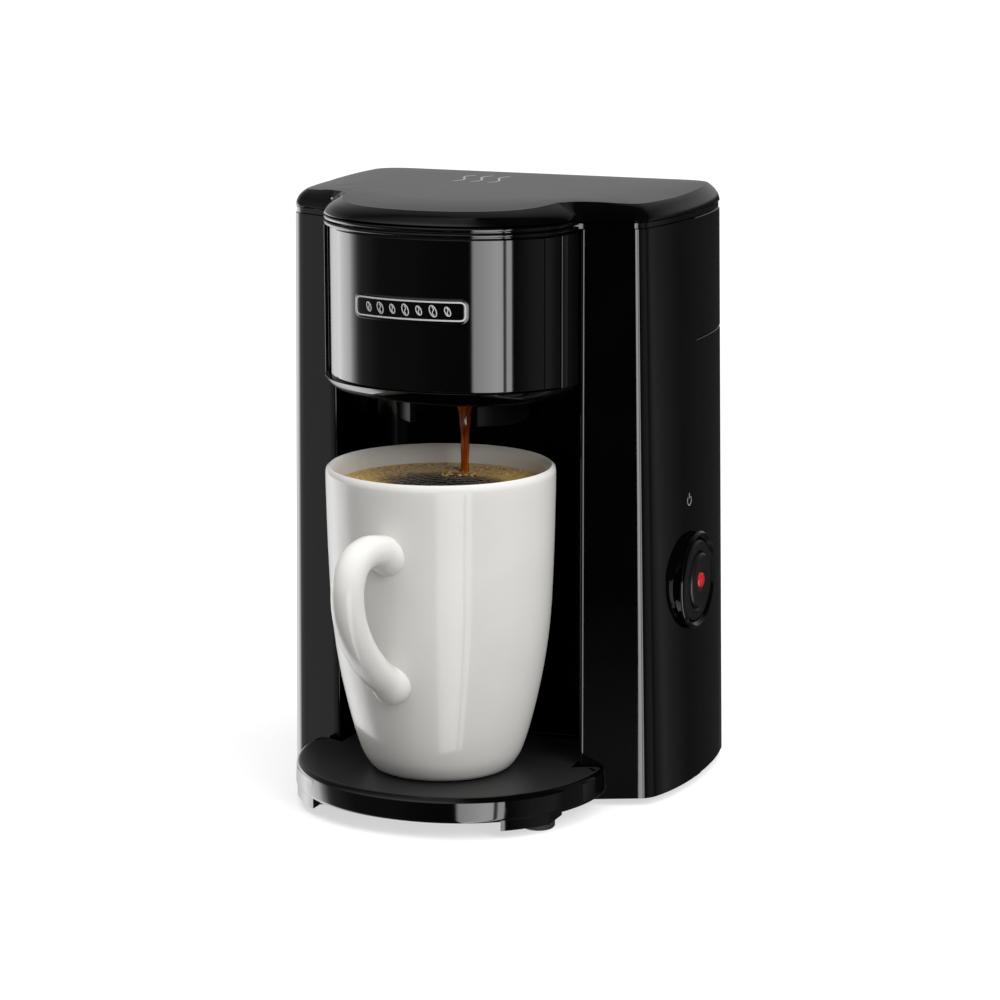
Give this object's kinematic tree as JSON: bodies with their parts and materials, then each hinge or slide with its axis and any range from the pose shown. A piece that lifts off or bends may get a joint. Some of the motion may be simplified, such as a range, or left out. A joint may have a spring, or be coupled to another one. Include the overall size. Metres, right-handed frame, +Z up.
{
  "type": "drip coffee maker",
  "caption": "Compact one-mug drip coffee maker with an oval brewing head over a round foot plate, a hinged lid, a side push button and its ceramic mug.",
  "frame": {"origin": "on the table, under the middle of the whole machine's box, mug handle included", "axes": "+Z up; the front, with the mug and its handle, faces -Y; the switch is on the +X side"},
  "size_m": [0.1573, 0.1827, 0.2207],
  "materials": {
    "gloss_black": "high-gloss black moulded ABS",
    "satin_black": "satin black moulded polypropylene",
    "lid_black": "fine-textured dark grey-black moulded plastic",
    "matt_black": "matt black moulded plastic",
    "tank_grey": "smoke grey translucent moulded plastic",
    "trim_silver": "fine satin silver",
    "steel": "plain zinc-plated or stainless steel",
    "heater_aluminium": "sawn aluminium extrusion",
    "brass": "plain brass tab",
    "rubber_black": "soft black rubber",
    "silicone_pale": "pale translucent silicone",
    "mug_glaze": "glossy warm white glaze",
    "filter_nylon": "fine woven nylon mesh",
    "lens_red": "clear red lens",
    "wire_brown": "brown PVC insulation",
    "wire_blue": "blue PVC insulation"
  },
  "bodies": {
    "machine": {"front_housing": "gloss_black", "rear_cover": "satin_black", "rear_housing": "satin_black", "bay_panel": "gloss_black", "head_shell": "gloss_black", "front_panel": "gloss_black", "badge": "trim_silver", "deck": "gloss_black", "hinge_pin_left": "steel", "hinge_pin_right": "steel", "filter_holder": "satin_black", "filter_frame": "matt_black", "filter_mesh": "filter_nylon", "filter_handle": "matt_black", "water_tank": "tank_grey", "tank_screen": "filter_nylon", "check_valve": "silicone_pale", "tank_hose": "silicone_pale", "inlet_hose": "silicone_pale", "outlet_hose": "silicone_pale", "riser_tube": "matt_black", "riser_nozzle": "silicone_pale", "heater_block": "heater_aluminium", "element_terminal_left": "brass", "element_terminal_right": "brass", "heater_bracket": "steel", "thermostat": "matt_black", "thermal_fuse": "silicone_pale", "terminal_block": "silicone_pale", "wire_live": "wire_brown", "wire_neutral": "wire_blue", "cord_grommet": "rubber_black", "switch_bezel": "gloss_black", "switch_ring": "satin_black", "switch_body": "matt_black", "button_spring": "steel", "foot_plate": "satin_black", "foot_plate_cover": "matt_black", "bottom_cover": "matt_black", "bottom_screw_1": "steel", "bottom_screw_2": "steel", "bottom_screw_3": "steel", "bottom_screw_4": "steel", "foot_front_left": "rubber_black", "foot_front_right": "rubber_black", "foot_rear_left": "rubber_black", "foot_rear_right": "rubber_black"},
    "lid": {"lid": "lid_black", "lid_liner": "matt_black"},
    "button": {"push_button": "satin_black", "indicator_lens": "lens_red"},
    "mug": {"mug": "mug_glaze"},
    "valve_ball": {"valve_ball": "steel"}
  },
  "joints": [
    {"name": "lid_hinge", "type": "hinge", "parent": "machine", "child": "lid", "pos_m": [0, 0.0889, 0.2138], "axis": [-1, 0, 0], "range_deg": [0, 95]},
    {"name": "button_press", "type": "slide", "parent": "machine", "child": "button", "axis": [-1, 0, 0], "range_m": [0, 0.002], "stiffness_N_per_m": 600, "deforming": ["button_spring"]},
    {"name": "mug_slide", "type": "slide", "parent": "machine", "child": "mug", "axis": [0, -1, 0], "range_m": [0, 0.12]},
    {"name": "valve_ball_lift", "type": "slide", "parent": "machine", "child": "valve_ball", "axis": [0, 0, 1], "range_m": [0, 0.0025]}
  ]
}
